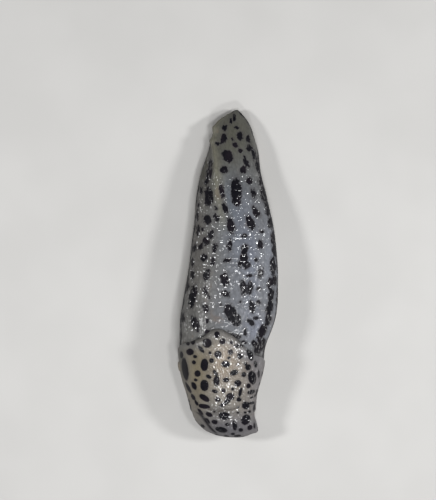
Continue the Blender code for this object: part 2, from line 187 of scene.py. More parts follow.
def mantleShare(point):  # 0 at the crown and 1 at the margin, seen from the heart
    away = point - heart
    lean = np.degrees(np.arctan2(np.hypot(away[:, 0], away[:, 1]), away[:, 2]))
    turn = np.degrees(np.arctan2(away[:, 0], -away[:, 1])) % 360
    return lean / marginLean(turn), turn


def mantlePoint(turn, share, lift):
    hit, normal = skinHit(turn, share * marginLean(turn))
    proud = liftAt(turnFromRear(turn)) * smoothStep(0.2, 0.9, share)
    inFront = 1 - smoothStep(mantleForm["fold"] - 0.9, mantleForm["fold"] + 0.3, hit[:, 1])
    proud = proud - mantleForm["foldDrop"] * inFront
    corner = bell(turn - mantleForm["cornerTurn"], mantleForm["cornerSpread"])
    proud = proud + mantleForm["cornerFlare"] * corner * smoothStep(0.75, 1.0, share)
    return hit + normal * (proud + lift)[:, None], normal


def toWorld(point):
    return (point + np.array(bodyForm["shift"]) - np.array([0, bodyForm["length"] / 2, 0])) * mm


def fromWorld(point):
    return point / mm - np.array(bodyForm["shift"]) + np.array([0, bodyForm["length"] / 2, 0])


# the photo's frame: mm to a pixel at the subject's height, the slug's middle and front, the point under the camera
photoView = dict(scale=0.272, middle=228.0, front=439.0, aim=(218.0, 250.0), high=500.0, cameraHeight=470.0,
                 subjectHeight=8.0)


def fromPicture(across, down):  # a point of the photo's frame to mm in the solids' own measure
    return (across - photoView["middle"]) * photoView["scale"], (photoView["front"] - down) * photoView["scale"]


# meshes from bmesh, moved and read as arrays, and objects at the origin

def meshOf(name, fill):
    bm = bmesh.new()
    fill(bm)
    mesh = bpy.data.meshes.new(name)
    bm.to_mesh(mesh)
    bm.free()
    return mesh


def pointsOf(mesh):
    points = np.empty(len(mesh.vertices) * 3)
    mesh.vertices.foreach_get("co", points)
    return points.reshape(-1, 3)


def normalsOf(mesh):
    mesh.update()
    normals = np.empty(len(mesh.vertices) * 3)
    mesh.vertex_normals.foreach_get("vector", normals)
    return normals.reshape(-1, 3)


def placePoints(mesh, points):
    mesh.vertices.foreach_set("co", np.ascontiguousarray(points).ravel())
    mesh.update()


def sphereMesh(name, around, rings):
    return meshOf(name, lambda bm: bmesh.ops.create_uvsphere(bm, u_segments=around, v_segments=rings, radius=1))


def addObject(name, data):
    obj = bpy.data.objects.new(name, data)
    bpy.context.scene.collection.objects.link(obj)
    return obj


# the body's skin: back, flanks, foot fringe and sole

backSkin = dict(
    around=208, rings=276, start=2.4, topShare=0.79,
    ringPlaces=[(0, 2.4), (0.012, 2.55), (0.12, 10.0), (0.19, 24.0), (0.92, 85.0), (0.973, 89.2), (1, 90.0)],
    # the low tongue of foot under the hood, and where along it the full body takes over
    tongueMiddle=-0.9, tongueRise=0.9, tongueLevel=1.3, noseRounding=3.5, footLength=43.0, footTaper=1.11,
    footSquareness=6.0, middleFrom=(4.0, 8.0), levelFrom=(3.4, 8.0), flanksFrom=(4.5, 9.0),
    frontRounding=1.8, rearRounding=2.6,
    # the collar of drawn-in neck behind the head: where it rises and ends, its rings and its pebbles
    collarRise=(3.6, 8.8), collarEnd=(9.0, 12.0), collarRing=1.3, collarRingHeight=0.13,
    collarPebble=0.85, collarPebbleHeight=0.17,
    # below the widest level: share of the way, share of the half width, share of the level, height
    underside=[(0, 1, 1, 0), (0.2, 0.99, 0.55, 0.95), (0.42, 0.935, 0, 2.15), (0.5, 0.905, 0, 1.75),
               (0.6, 0.95, 0, 1.1), (0.68, 0.95, 0, 0.5), (0.74, 0.93, 0, 0.1), (0.79, 0.90, 0, 0), (1, 0, 0, 0)],
    underMantle=1.15, underMantleFrom=(6.5, 9.5),
    pebbleWide=1.15, pebbleLong=1.75, rowRadius=11.5,
    pebbleHeight=[(0, 0.06), (20, 0.06), (52, 0.07), (60, 0.065), (67, 0.05), (74, 0.04), (90, 0.04)],
    streakHeight=0.03, waveHeight=0.16, smoothTail=(79.5, 87.5), scallop=1.3,
    tailLumps=[(81.3, 0.45, 0.9), (84.9, 0.40, 0.8), (83.1, -0.2, 0.7)],  # along, height, reach
)
undersideWay, undersideAcross, undersideLevel, undersideHeight = np.array(backSkin["underside"]).T


def makeBackMesh():
    form = backSkin
    mesh = sphereMesh("backSkin", form["around"], form["rings"])
    ball = pointsOf(mesh)
    latitude = np.arccos(np.clip(ball[:, 2], -1, 1)) / math.pi
    along = np.interp(latitude, *np.array(form["ringPlaces"]).T)
    longitude = np.arctan2(ball[:, 0], ball[:, 1]) / math.pi
    side, way = np.sign(longitude), np.abs(longitude)
    top = way <= form["topShare"]
    angle = np.where(top, way / form["topShare"], 1) * math.pi / 2
    below = np.clip((way - form["topShare"]) / (1 - form["topShare"]), 0, 1)

    # the section at each ring, and under the hood the low tongue of foot that the head stands on
    half, middle, level, rise, _ = sectionAt(np.clip(along, 0.01, None))
    fromStart = along - form["start"]
    middle = middle + (form["tongueMiddle"] - middle) * (1 - smoothStep(*form["middleFrom"], along))
    raised = smoothStep(*form["collarRise"], along)
    fromRear = np.clip(1 - fromStart / form["footLength"], 0, 1) ** form["footTaper"]
    footRound = np.sqrt(1 - fromRear ** form["footSquareness"])
    flanks = smoothStep(*form["flanksFrom"], along)
    half = half * (footRound + (1 - footRound) * flanks)
    rise = (form["tongueRise"] + (rise - form["tongueRise"]) * raised) * dome(fromStart / form["noseRounding"])
    level = form["tongueLevel"] + (level - form["tongueLevel"]) * smoothStep(*form["levelFrom"], along)
    power = 2 / bodyForm["backRoundness"]
    across = np.where(top, np.sin(angle) ** power, np.interp(below, undersideWay, undersideAcross))
    across = across * (1 - (1 - footRound) * smoothStep(0.2, 0.42, below) * flanks)
    upward = np.where(top, np.cos(angle) ** power, 0)
    lowEnd = dome((bodyForm["length"] - along) / form["rearRounding"]) * dome(fromStart / form["frontRounding"])
    sunk = level * np.interp(below, undersideWay, undersideLevel) + np.interp(below, undersideWay, undersideHeight)
    z = np.where(top, level + rise * upward, level - (level - np.minimum(sunk, level)) * lowEnd)
    lean = np.radians(keelLeanAt(along))
    ridge = keelHeightAt(along) * bell(np.degrees(side * angle - lean), bodyForm["keelHalfAngle"]) * top
    x = middle + side * across * (half + ridge)
    z = z + ridge * upward
    base = np.stack([x, along, z], 1)
    placePoints(mesh, base)
    normal = normalsOf(mesh)
    share, _ = mantleShare(base)
    covered = 1 - smoothStep(0.90, 1.02, share)
    sink = form["underMantle"] * covered * smoothStep(*form["underMantleFrom"], along)
    base = base - normal * sink[:, None]

    # rows of long pebbles that run with the keel, then slow waves
    rowPlace = (side * angle - lean) * form["rowRadius"]
    u = rowPlace / form["pebbleWide"] + 0.7 * (softNoise(rowPlace / 3.1, along / 4.3, 3) - 0.5)
    v = along / form["pebbleLong"] + 0.8 * softNoise(rowPlace / 2.0, along / 5.0, 8)
    pebble = pebbles(u, v, 1)
    streak = softNoise(rowPlace / 0.55, along / 6.0, 21) - 0.5
    wave = softNoise(rowPlace / 4.5 + 9, along / 5.5, 31) - 0.5
    height = curveThrough(form["pebbleHeight"])(along) * (pebble - 0.5) + form["waveHeight"] * wave
    height = height + form["streakHeight"] * streak * (0.3 + 0.7 * smoothStep(60, 72, along))

    # the collar's rings and pebbles around the head
    collar = (1 - smoothStep(*form["collarEnd"], along)) * top
    aroundHead = np.hypot(x - headForm["centre"][0], 1.15 * (z - headForm["centre"][2]))
    aroundHead = aroundHead + 0.7 * softNoise(x / 2.0, z / 2.0, 81)
    knob = pebbles(x / form["collarPebble"], (along + z) / form["collarPebble"], 17)
    collarHeight = form["collarRingHeight"] * np.cos(2 * math.pi * aroundHead / form["collarRing"])
    collarHeight = (collarHeight + form["collarPebbleHeight"] * (knob - 0.5)) * smoothStep(0, 1.5, fromStart)
    bare = (1 - covered) * np.where(top, 1, 1 - smoothStep(0.3, 0.45, below)) * (1 - collar)
    height = height * bare * (1 - 0.95 * smoothStep(*form["smoothTail"], along)) + collarHeight * collar

    # the small lumps at the tail, and the scallops of the foot fringe
    for place, rise, reach in form["tailLumps"]:
        height = height + rise * bell(along - place, reach) * bell(np.degrees(side * angle - lean) + 12, 26) * top
    fringe = bell(below - 0.62, 0.12) * (~top) * (0.02 + 0.13 * softNoise(along / 2.1, side * 3.0, 5))
    phase = along * 2 * math.pi / form["scallop"] + 7 * softNoise(along / 3, side * 2.0, 4)
    points = base + normal * (height + fringe * np.sin(phase))[:, None]
    points[:, 2] = np.where(points[:, 2] < 0.02, np.maximum(points[:, 2], 0), points[:, 2])
    placePoints(mesh, points)
    print("back skin", len(mesh.vertices))
    return mesh, dict(base=base, normal=normal, along=along, angle=side * angle, below=below, top=top, share=share,
                      relief=pebble * bare + knob * collar, collar=collar, points=points)


# the mantle's skin

mantleSkin = dict(
    around=364, rings=110, upperShare=0.72, spread=17.0,
    nucleus=(-0.6, 21.5), ridgeSpacing=0.62, ridgeHeight=0.028,
    grainSize=0.95, grainHeight=0.12, grainMiddle=(0.4, 16.5), grainReach=(6.5, 10.5), grainElsewhere=0.16,
    waveHeight=0.22, rimHeight=0.12, creaseDepth=0.30, creaseFrom=-6.0, creaseTo=3.0,
    # the crease as (x, along), and the groove down one side of the hood's front as (along, x)
    creaseLine=[(-7, 8.6), (-4.9, 8.3), (-3.8, 7.8), (-2.4, 7.9), (-0.8, 8.15), (1.0, 8.2), (1.9, 8.6), (2.7, 9.1),
                (5, 9.6)],
    grooveLine=[(0, -2.0), (1.1, -2.9), (3.4, -5.0), (4.9, -6.1), (6.4, -7.15), (8.0, -9.0)],
    grooveWidth=0.34, grooveDepth=0.26,
)


def makeMantleMesh():
    form = mantleSkin
    mesh = sphereMesh("mantleSkin", form["around"], form["rings"])
    ball = pointsOf(mesh)
    latitude = np.arccos(np.clip(ball[:, 2], -1, 1)) / math.pi
    upper = latitude <= form["upperShare"]
    fromPole = np.where(upper, latitude / form["upperShare"], (1 - latitude) / (1 - form["upperShare"]))
    share = 1 - (1 - fromPole) ** 1.35
    edge = np.sqrt(np.clip(1 - smoothStep(0.93, 1.0, share) ** 2, 0, 1))
    lift = mantleForm["thickness"] / 2 * (np.where(upper, 1, -1) * edge - 1)
    turn = np.degrees(np.arctan2(ball[:, 0], -ball[:, 1])) % 360
    base, normal = mantlePoint(turn, share, lift)
    x, along = base[:, 0], base[:, 1]

    # fingerprint ridges around a nucleus, and coarse grains in the middle
    flatX = share * form["spread"] * np.sin(np.radians(turn))
    flatY = -share * form["spread"] * np.cos(np.radians(turn))
    away = np.hypot(x - form["nucleus"][0], along - form["nucleus"][1]) + 0.9 * softNoise(x / 3.0, along / 3.0, 41)
    away = away + 0.35 * (15.3 - base[:, 2]) * smoothStep(0.4, 0.9, share)
    ridge = 0.5 + 0.5 * np.cos(2 * math.pi * away / form["ridgeSpacing"])
    ridge = ridge * (0.4 + 0.6 * softNoise(flatX / 1.6, flatY / 1.6, 43))
    grain = pebbles(flatX / form["grainSize"], flatY / form["grainSize"], 6, 0.5)
    (middleX, middleY), (reachX, reachY) = form["grainMiddle"], form["grainReach"]
    granular = np.exp(-((x - middleX) / reachX) ** 2 - ((along - middleY) / reachY) ** 2)
    granular = form["grainElsewhere"] + (1 - form["grainElsewhere"]) * granular
    wave = (softNoise(flatX / 5.0 + 3, flatY / 5.0, 47) - 0.5) * smoothStep(0.05, 0.4, share)

    # the crease where the hood begins and the groove down its front
    crease = bell(along - curveThrough(form["creaseLine"])(x), 0.38)
    crease = crease * smoothStep(form["creaseFrom"] - 1, form["creaseFrom"] + 1, x)
    crease = crease * (1 - smoothStep(form["creaseTo"] - 1, form["creaseTo"] + 1.5, x))
    groove = bell(0.75 * (x - curveThrough(form["grooveLine"])(along)), form["grooveWidth"])
    groove = groove * smoothStep(0.6, 2.6, along) * (1 - smoothStep(6.6, 8.2, along))
    groove = groove * smoothStep(0.05, 0.3, normal[:, 2]) * upper
    height = form["ridgeHeight"] * (ridge - 0.5) * (1.2 - granular) + form["grainHeight"] * (grain - 0.5) * granular
    height = height + form["waveHeight"] * wave - form["creaseDepth"] * crease - form["grooveDepth"] * groove
    rim = smoothStep(0.88, 1.0, share)
    height = height * (1 - 0.6 * rim) + form["rimHeight"] * rim * (softNoise(turn / 6.0, share, 51) - 0.5)
    height = np.where(upper, height, 0)

    # the breathing pore
    poreTurn, poreShare = mantleForm["poreTurn"], mantleForm["poreLean"] / marginLean(mantleForm["poreTurn"])
    pore, poreNormal = mantlePoint(np.array([poreTurn]), np.array([poreShare]), np.array([0.0]))
    away = base - pore[0]
    fromPore = np.linalg.norm(away - (away @ poreNormal[0])[:, None] * poreNormal[0], axis=1)
    away = np.linalg.norm(away, axis=1)
    closeBy = upper & (away < 3)
    lip = mantleForm["poreLip"] * bell(fromPore - mantleForm["poreRadius"], 0.36)
    pit = mantleForm["poreDepth"] * (1 - smoothStep(0.12, 0.8, fromPore))
    height = np.where(closeBy, height * smoothStep(0.8, 1.8, fromPore) + lip - pit, height)
    points = base + normal * height[:, None]
    placePoints(mesh, points)
    print("mantle skin", len(mesh.vertices))
    return mesh, dict(
        base=base, normal=normal, share=share, turn=turn, upper=upper, points=points, groove=groove,
        crease=crease * upper, clearOfPore=away > 2.4,
        poreRim=np.where(closeBy, bell(fromPore - mantleForm["poreRadius"], 0.4), 0),
        pit=np.where(closeBy, 1 - smoothStep(0.2, 0.85, fromPore), 0),
        relief=np.where(upper, grain * granular + ridge * (1 - granular) * 0.6, 0))


# the head, tucked under the hood

headForm = dict(
    centre=(-0.4, 6.8, 4.7), radii=(5.9, 4.8, 3.6), around=160, rings=108,
    lipSpread=0.66, lipDrop=1.65, lipWide=0.55, lipHigh=0.62, lipRaise=0.42, muzzleRaise=0.30,
    mouthWide=0.12, mouthHigh=0.55, mouthDeep=0.55, puckerHeight=0.06, grooveDepth=0.15, cheekHeight=0.4,
    knobSize=0.46, knobHeight=0.085, foldSpacing=0.95, foldHeight=0.09,
    # tentacles: place on the face, aim, length, root radius and tip radius, all for the slug's left side
    tentacles=[("upperTentacle", (2.3, 0.9, 0.5), (0.22, -1, 0.06), 1.9, 0.8, 0.68),
               ("lowerTentacle", (2.15, 1.1, -1.5), (0.35, -1, -0.12), 1.3, 0.46, 0.38)],
    eyeRadius=0.26, eyeOut=1.80, eyeShift=(0.1, 0, 0.12),
    tone=(0.190, 0.165, 0.135), browTone=(0.115, 0.105, 0.095), lipTone=(0.235, 0.200, 0.165),
    tentacleTone=(0.150, 0.125, 0.105), paintedMouthShade=(0.035, 0.022, 0.020), paintedGrooveShade=(0.07, 0.06, 0.055),
)
# a tentacle's soft rings: share of its length, share of its radius
stalkRings = [(-1.2, 1.1), (-0.4, 1.1), (0.0, 1.10), (0.08, 1.12), (0.15, 1.02), (0.23, 1.07), (0.30, 0.97),
              (0.38, 1.01), (0.45, 0.90), (0.52, 0.93), (0.59, 0.84), (0.66, 0.86), (0.73, 0.80), (0.80, 0.80),
              (0.86, 0.74), (0.91, 0.65), (0.95, 0.53), (0.985, 0.34), (1.0, 0.15)]


def makeHeadSkin():  # an egg of flesh whose face has lips, a mouth slit, folds and tubercles
    form = headForm
    mesh = sphereMesh("headSkin", form["around"], form["rings"])
    ball = pointsOf(mesh)
    turn = np.arctan2(ball[:, 0], -ball[:, 1])
    turn = turn - 0.55 * np.sin(turn)
    level = np.hypot(ball[:, 0], ball[:, 1])
    ball = np.stack([level * np.sin(turn), -level * np.cos(turn), ball[:, 2]], 1)
    radii = np.array(form["radii"])
    points = ball * radii
    normal = ball / radii
    normal = normal / np.linalg.norm(normal, axis=1)[:, None]
    x, z = points[:, 0], points[:, 2]
    face = smoothStep(-0.4, -2.6, points[:, 1])
    low = z + form["lipDrop"]

    lips = sum(bell(np.hypot((x - side * form["lipSpread"]) / form["lipWide"], low / form["lipHigh"]), 1)
               for side in (-1, 1))
    slit = bell(x - 0.05 * np.sin(low * 5), form["mouthWide"]) * bell(low, form["mouthHigh"])
    fromMouth = np.hypot(x, 1.1 * low)
    pucker = np.cos(12 * np.arctan2(low, x) + 4 * softNoise(x / 0.9, z / 0.9, 71)) * bell(fromMouth - 1.5, 0.55)
    muzzle = bell(np.hypot(x / 2.1, low / 1.5), 1)
    warp = 1.3 * softNoise(x / 1.3, z / 1.3, 73)
    knobHigh = (0.62 * z + 0.3 * points[:, 1]) / form["knobSize"]
    knob = pebbles(x / form["knobSize"] + warp, knobHigh + warp, 13, 0.45, 0.45, 2.2)
    knob = 0.5 + (knob - 0.5) * (0.35 + 0.9 * softNoise(x / 0.9 + 3, z / 0.8, 79))
    sweep = math.pi / form["foldSpacing"] * (z - 0.07 * x * x + 1.3 * softNoise(x / 2.2, z / 1.8, 77))
    fold = np.cos(2 * sweep) + 0.4 * np.cos(5.1 * sweep + x)
    groove = bell(x - 0.12 * np.sin(z * 2.3), 0.2) * smoothStep(-0.5, 0.6, z)
    cheek = softNoise(x / 2.3 + 5, z / 2.1, 75) - 0.5
    height = form["lipRaise"] * lips + form["muzzleRaise"] * muzzle - form["mouthDeep"] * slit
    height = height + form["puckerHeight"] * pucker - form["grooveDepth"] * groove
    height = height + form["knobHeight"] * (knob - 0.5) * (1 - 0.75 * np.clip(lips, 0, 1))
    height = height + (form["foldHeight"] * fold + form["cheekHeight"] * cheek) * (1 - muzzle)
    points = points + normal * (height * face)[:, None]
    placePoints(mesh, toWorld(points + np.array(form["centre"])))

    tone = layered(np.tile(np.array(form["tone"]), (len(points), 1)), [
        (form["browTone"], smoothStep(-0.6, 2.2, z)), (form["lipTone"], 0.8 * np.clip(lips + 0.4 * muzzle, 0, 1))])
    # lighter on the knobs, with painted shade between them and in the folds
    tone = tone * (0.80 + 0.34 * knob - 0.07 * (1 - fold) * (1 - muzzle))[:, None]
    tone = tone * (0.88 + 0.24 * softNoise(x / 1.7 + 2, z / 1.2, 83))[:, None]
    # painted shade in the mouth slit and the face's groove
    return mesh, layered(tone, [(form["paintedMouthShade"], 0.9 * slit), (form["paintedGrooveShade"], 0.5 * groove)]), knob


def smoothBall(name, centre, radius, around=32, rings=20):
    mesh = sphereMesh(name, around, rings)
    placePoints(mesh, toWorld(pointsOf(mesh) * radius + np.array(centre)))
    return mesh


def stalk(name, base, aim, length, rootRadius, tipRadius):  # a drawn-in tentacle in soft rings
    def fill(bm):
        bottom = bmesh.ops.create_circle(bm, cap_ends=True, segments=28, radius=rootRadius * mm)
        edges = list({edge for vertex in bottom["verts"] for edge in vertex.link_edges})
        bmesh.ops.translate(bm, vec=(0, 0, stalkRings[0][0] * mm), verts=bottom["verts"])
        for place, share in stalkRings[1:]:
            grown = bmesh.ops.extrude_edge_only(bm, edges=edges)
            ring = [part for part in grown["geom"] if isinstance(part, bmesh.types.BMVert)]
            edges = [part for part in grown["geom"] if isinstance(part, bmesh.types.BMEdge)]
            radius = share * (rootRadius + (tipRadius - rootRadius) * max(place, 0))
            for vertex in ring:
                flat = Vector((vertex.co.x, vertex.co.y, 0)).normalized()
                vertex.co = (flat * radius + Vector((0, 0, place * length))) * mm
        bmesh.ops.edgeloop_fill(bm, edges=edges)
        tilt = Vector(aim).to_track_quat("Z", "Y").to_matrix().to_4x4()
        bmesh.ops.transform(bm, matrix=Matrix.Translation(toWorld(base)) @ tilt, verts=bm.verts)
        bmesh.ops.recalc_face_normals(bm, faces=bm.faces)

    return meshOf(name, fill)


def makeHeadMeshes():
    face = np.array(headForm["centre"]) - np.array([0, headForm["radii"][1], 0])
    skinMesh, skinTone, knob = makeHeadSkin()
    meshes, tones, reliefs, eyes = [skinMesh], [skinTone], [knob], []
    for side in (-1, 1):
        mirror = np.array([side, 1, 1])
        for name, place, aim, length, rootRadius, tipRadius in headForm["tentacles"]:
            base = face + np.array(place) * mirror
            aim = np.array(aim) * mirror / np.linalg.norm(aim)
            if name == "upperTentacle":
                eyes.append((side, base + aim * headForm["eyeOut"] + np.array(headForm["eyeShift"]) * mirror))
            mesh = stalk(name, base, aim, length, rootRadius, tipRadius)
            meshes.append(mesh)
            tones.append(np.tile(np.array(headForm["tentacleTone"]), (len(mesh.vertices), 1)))
            reliefs.append(np.full(len(mesh.vertices), 0.6))
    print("head", sum(len(mesh.vertices) for mesh in meshes))
    points = fromWorld(np.vstack([pointsOf(mesh) for mesh in meshes]))
    return meshes, eyes, dict(points=points, tone=np.vstack(tones), relief=np.concatenate(reliefs))


# spots: across, down, width, height in the photo's frame, and a turn to the left in degrees

mantleSpots = [
    (207, 343, 8.6, 8.4, 0), (190, 352, 7, 6.3, 0), (217, 334.5, 5, 6, 0), (222.6, 341.5, 5.6, 5, 20),
    (201, 349, 3, 7.4, 43), (188, 339.4, 3, 3, 0), (188, 343.6, 3, 3.2, 0), (193, 341.5, 4, 6, 0),
    (218, 354.5, 6.6, 7, 0), (230.5, 352, 4.6, 4.6, 0), (240, 356, 5, 5.6, 0), (250, 354.5, 5, 11.5, 20),
    (204.4, 365, 7, 12, -4), (195, 356.6, 3.2, 3, 0), (194, 362.4, 3.4, 3.6, 0), (211.7, 360.6, 4.2, 4.2, 0),
    (225.6, 364, 7.6, 6.4, 0), (185, 369, 6, 21, 8), (197.5, 373.6, 5.6, 6.2, 0), (208.6, 376.7, 5.2, 3, -30),
    (216.5, 381, 5.6, 9, 0), (215.4, 373, 3, 6, 35), (234, 372.7, 7.4, 4.8, 20), (226, 380, 5.4, 4, 0),
    (237.7, 383.4, 6.6, 6, 20), (243.8, 374.5, 4, 4.4, 0), (248, 367.3, 5, 5.6, 0), (252.3, 377.6, 7.6, 13, 10),
    (255.3, 364, 3, 6, 10), (204.4, 385.5, 7.8, 10.6, 0), (194, 386, 4.4, 7.4, 25), (195.7, 380, 3.2, 2.6, -20),
    (214.7, 391.3, 5.4, 3, -15), (223.5, 391, 3.2, 4.6, 0), (240.2, 392.6, 2.8, 8.4, -14), (248.6, 386, 4, 4.4, 0),
    (251.3, 392, 7, 4, 8), (204.4, 398, 10.6, 5.4, -33), (217.7, 399.4, 5, 4, -10), (230.2, 396.6, 7.6, 7, 0),
    (224, 404, 9, 3.8, 30), (239, 399.4, 4, 4, 0), (204, 406.4, 11, 4.4, -6), (245.9, 405.5, 7.4, 7.2, 15),
    (209, 414.5, 6.6, 4.2, -28), (224.4, 416, 10.6, 7.4, -8), (245.7, 419.8, 8.4, 10.2, -25),
    (214.7, 422, 5.4, 4, -10), (207.4, 421, 3.2, 6, 35), (202.6, 426, 4, 2.8, -35), (221.4, 429.7, 11.4, 5.4, -14),
    (227.4, 424.5, 4, 3.2, 0), (234.7, 426, 3.8, 9, 8), (240.8, 430, 4, 3.4, 0), (249.8, 427.5, 4.4, 5.4, -15),
    (233, 434, 3.4, 2.2, 0), (237.7, 435.9, 6.2, 2.2, 5), (188.4, 388, 2.8, 10, 28), (193, 397, 3, 6, 30),
    (196.4, 403, 2.6, 5, 30), (200.5, 412, 2.4, 6.5, 38), (181.6, 355, 3, 6, 0), (232.6, 389, 2.2, 2.4, 0),
    (229, 358, 2.4, 2.2, 0), (245.5, 364, 2.2, 2.6, 0), (257, 392, 2.4, 5, 0), (255.3, 395.7, 1.8, 2.4, 0),
    (258.6, 374, 2, 6, 0), (210, 353, 2, 2.2, 0), (238, 364.5, 2.4, 2, 0), (237.9, 412.7, 2.2, 1.6, 0),
    (214.2, 412, 2, 1.8, 0), (227.6, 400.4, 6, 4.6, 40), (241.5, 345.5, 3.4, 2.6, 0), (231.5, 342.6, 3.2, 2.8, -20),
    (237, 346, 5, 3, 0), (252.4, 402.9, 7, 2.8, 0), (251.7, 397.5, 2.6, 1.6, 15), (254.2, 407.5, 1.6, 6, -5),
    (245, 412.5, 1.8, 1.8, 0), (249.7, 411.8, 2.2, 2.6, 0), (226.3, 436.2, 4.4, 1.8, -12),
    (254.4, 425.2, 1.6, 5, 5), (237.9, 407.3, 2.4, 1.3, 20),
]
backSpots = [
    (227.6, 156, 9.6, 12, 35), (224, 170, 7, 6.2, 0), (223.6, 138.6, 5.6, 8.6, -15), (224.7, 127.7, 4.6, 5.6, -10),
    (240, 136, 5.6, 7.4, 10), (235.2, 144.6, 4.6, 4, -35), (232.6, 139.6, 3, 2.6, -30),
    (240.4, 150.8, 4.2, 3.4, 10), (246.5, 163, 3.8, 7.6, 38), (243.4, 169.6, 5.6, 6.4, 15), (249.4, 181, 5, 6, 20),
    (253.4, 193.7, 3.8, 8.8, 12), (236.2, 191.4, 9.6, 26, 3), (221.8, 191, 3.6, 12.5, 8),
    (224.7, 208, 3.2, 8.6, 14), (208.6, 197, 7.6, 16.5, 3), (209, 174, 5, 13, -10), (210.4, 164, 3.8, 7, 0),
    (206, 183, 3, 5, 0), (256.3, 212, 5.4, 9.6, 32), (250.2, 222.4, 6.8, 14, 24), (230.8, 226, 7, 15, 12),
    (244.6, 236, 4.8, 3.4, 0), (207.5, 219.6, 6.6, 9.4, 20), (216.2, 218, 4.2, 6.6, 0), (211, 234.6, 4.6, 8.4, -20),
    (206, 241.4, 6.8, 8, -40), (200.8, 246.4, 4, 5.4, -20), (229.3, 244.8, 4.2, 9, 0), (215.3, 247.7, 3.8, 7, -15),
    (260.3, 244.3, 4.6, 7.4, 0), (244.8, 248.4, 5.6, 8, -15), (243.6, 257, 7.6, 9, 0), (246.6, 265, 7.2, 6.6, 10),
    (240.4, 263.6, 4, 6.4, -20), (227.6, 260.3, 6.4, 4.2, 10), (212.8, 261.5, 4, 7, -15), (204, 258, 5.4, 7, -20),
    (225, 279.4, 7.2, 12.4, 0), (225.4, 294, 7.4, 5.6, -28), (206.8, 275, 5.6, 10.6, -8), (206.2, 291, 4.2, 8.4, 8),
    (208.8, 297.4, 2.6, 3, 0), (205.6, 308, 5.4, 9, 18), (192.8, 296.4, 6.6, 20, -10), (195.3, 324, 6.4, 13.6, 22),
    (230, 312, 9.6, 15.6, 12), (236.2, 319.8, 9.4, 11.8, 24), (243.6, 288, 6.2, 12.6, 0),
    (249.6, 287.8, 5.4, 11, -5), (260.8, 273, 4.4, 7.2, -8), (249.8, 275.5, 7, 2.4, 0), (259, 289, 4.2, 3.2, 0),
    (258.6, 302.7, 4.4, 3.8, 0), (251.7, 307.3, 4.8, 9.4, 8), (251, 322.4, 3.6, 7, 40), (256, 318, 4, 2.4, 0),
    (238.3, 336.4, 5.2, 3.2, -10), (243.8, 342.4, 5.4, 3, -10), (245, 332.4, 2.8, 5, 0),
    (232.6, 334.6, 7.6, 2, -38), (207.6, 331.6, 4.4, 3.4, 20), (183, 317, 2.6, 6, 0), (192.3, 274.5, 3, 7, 0),
    (187.4, 286, 2.8, 6, 0), (202.5, 229.7, 3.6, 2.8, 20), (198, 230, 2.8, 7.4, 0), (197, 216, 2.8, 8, -5),
    (198.4, 205, 1.8, 3, 0), (194.6, 248, 2.8, 6, -10), (192.4, 263, 2.8, 6, 0), (201, 190, 2.4, 6, 0),
    (216, 208, 1.8, 2.6, 0), (231, 121, 2.4, 4, 0), (237, 128, 4, 2.4, -25), (218, 143.6, 3.4, 3, 0),
    (248, 139, 3, 6, 10), (244.8, 156.4, 1.8, 1.8, 0), (249, 148, 4.4, 5.4, 30), (234, 118, 2.6, 5, 0),
    (257.6, 350, 7.6, 7, 0), (254, 343.6, 5, 5, 0), (207, 320, 2, 3.6, 0), (262, 231.6, 3.2, 2.4, 0),
    (256.4, 259.6, 2.4, 2.6, 0), (240.2, 302, 2.2, 1.8, 0), (221, 305, 1.6, 2, 0),
    # the dark row down the slug's left flank
    (254.4, 155, 3.6, 11, 18), (258.4, 168, 3.8, 13, 14), (260.6, 181, 3.4, 7, 0), (264, 194.6, 6, 15, 12),
    (267.4, 209, 4.4, 12, 10), (270.6, 223, 5, 11, 10), (273.4, 238.4, 5, 11, 4), (274.4, 250, 6.4, 12, 0),
    (273.2, 265.6, 5.6, 15, -2), (274.2, 280.6, 4.6, 9, -4), (269.7, 282.6, 5, 9, -8), (271.2, 295.6, 5.2, 12, -6),
    (269.8, 307.6, 6, 15, -8), (268, 320, 5.6, 12, -10), (262.6, 331, 7, 12, -22), (259.4, 338.4, 4.4, 6, -10),
    (259.4, 346, 10, 9, -20), (263.6, 341, 3.4, 6, 0), (277, 300, 1.8, 7, 0),
]
# how far down a side a spot may run for its size, the distance kept where no spot is near, and the strewn spots of
# the flanks and the hood: count, seed, half width, half length, distance apart
spotFinish = dict(deepest=1.5, farthest=5.0, flank=(230, 11, 0.75, 1.9, 1.9), hood=(70, 12, 0.75, 0.9, 1.8))


def seenSpots(spots, part, allowed):  # each spot as it shows from above, kept from running down a steep side
    made = []
    base, scale, cameraHeight = part["base"], photoView["scale"], photoView["cameraHeight"]
    aim = np.array(fromPicture(*photoView["aim"]))
    for across, down, width, height, turn in spots:
        seen = np.array(fromPicture(across, down))
        x, along = seen
        for _ in range(2):  # skin nearer the camera looks larger, so the spot lies closer to the point under it
            gap = np.hypot(base[:, 0] - x, base[:, 1] - along) + np.where(allowed, 0, 99)
            closest = int(np.argmin(gap))
            nearer = (cameraHeight - base[closest][2]) / (cameraHeight - photoView["subjectHeight"])
            x, along = aim + (seen - aim) * nearer
        n = part["normal"][closest]
        angle = math.radians(turn)
        sideways = np.array([math.cos(angle), math.sin(angle), 0])
        lengthwise = np.array([-math.sin(angle), math.cos(angle), 0])
        halfWide, halfLong = width * scale / 2, height * scale / 2
        drop = math.hypot(sideways @ n * halfWide, lengthwise @ n * halfLong) / max(n[2], 0.05)
        deepest = spotFinish["deepest"] * max(halfWide, halfLong)
        place = np.array([x, along, base[closest][2]])
        made.append((place, sideways, lengthwise, n, halfWide, halfLong, deepest if drop > deepest else 99.0))
    return made


